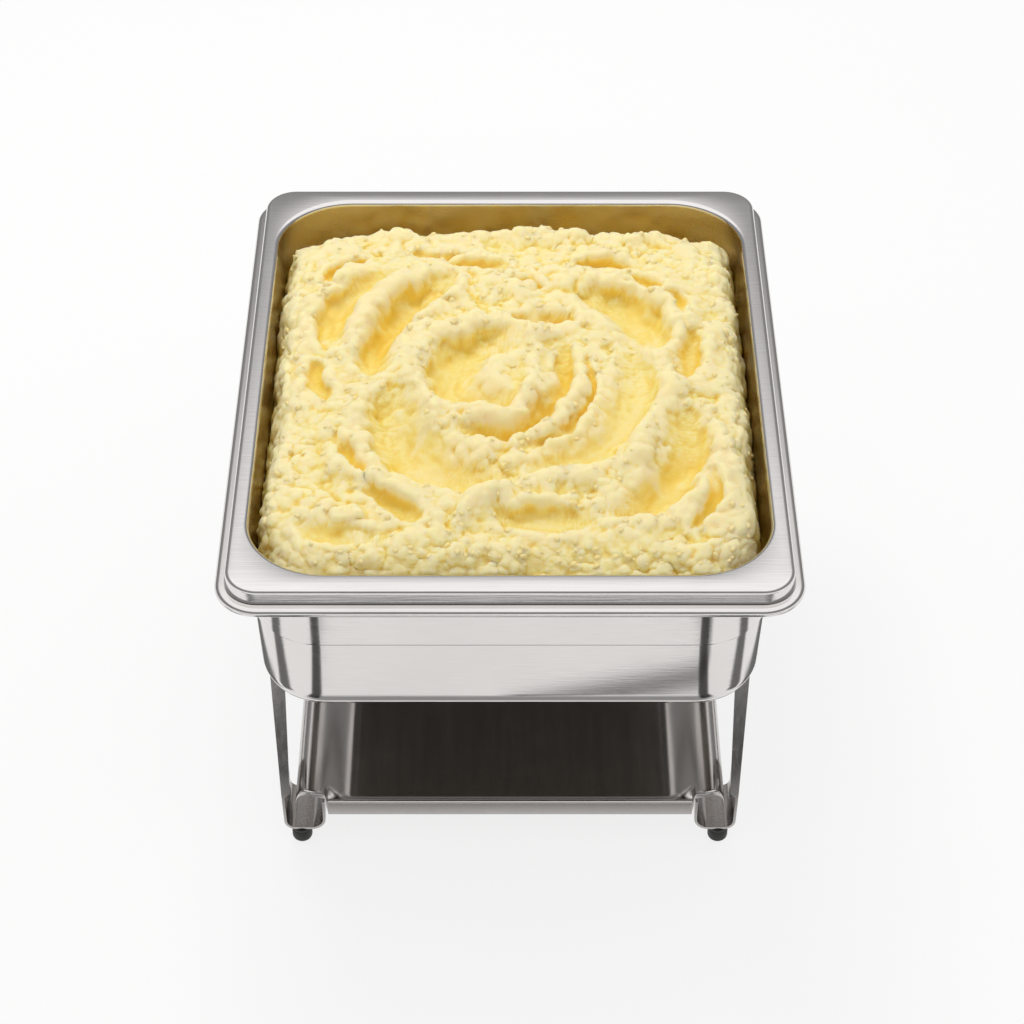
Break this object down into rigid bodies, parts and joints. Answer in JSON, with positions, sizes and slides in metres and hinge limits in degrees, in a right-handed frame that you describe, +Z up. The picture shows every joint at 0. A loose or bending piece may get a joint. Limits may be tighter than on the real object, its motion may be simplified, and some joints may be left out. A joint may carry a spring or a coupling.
{
  "type": "mashed potato side",
  "caption": "Half-size chafing dish heaped with swirled mashed potato: food pan in a water pan on a four-legged stand with a fuel shelf and rubber feet.",
  "frame": {"origin": "on the ground under the middle of the dish", "axes": "+X to the right-hand side, +Y to the back, +Z up; the front is the short side that faces -Y"},
  "size_m": [0.275, 0.335, 0.2241],
  "materials": {
    "mash": "moist, soft and lumpy mashed potato, pale butter yellow",
    "polished_steel": "satin to bright polished stainless steel sheet",
    "stand_steel": "satin stainless steel sheet",
    "black_rubber": "matte black rubber"
  },
  "bodies": {
    "root": {"mashed_potato": "mash", "food_pan": "polished_steel", "water_pan": "polished_steel", "stand_ring": "stand_steel", "shelf": "stand_steel", "leg_front_left": "stand_steel", "leg_front_right": "stand_steel", "leg_back_left": "stand_steel", "leg_back_right": "stand_steel", "foot_front_left": "black_rubber", "foot_front_right": "black_rubber", "foot_back_left": "black_rubber", "foot_back_right": "black_rubber"}
  },
  "joints": []
}
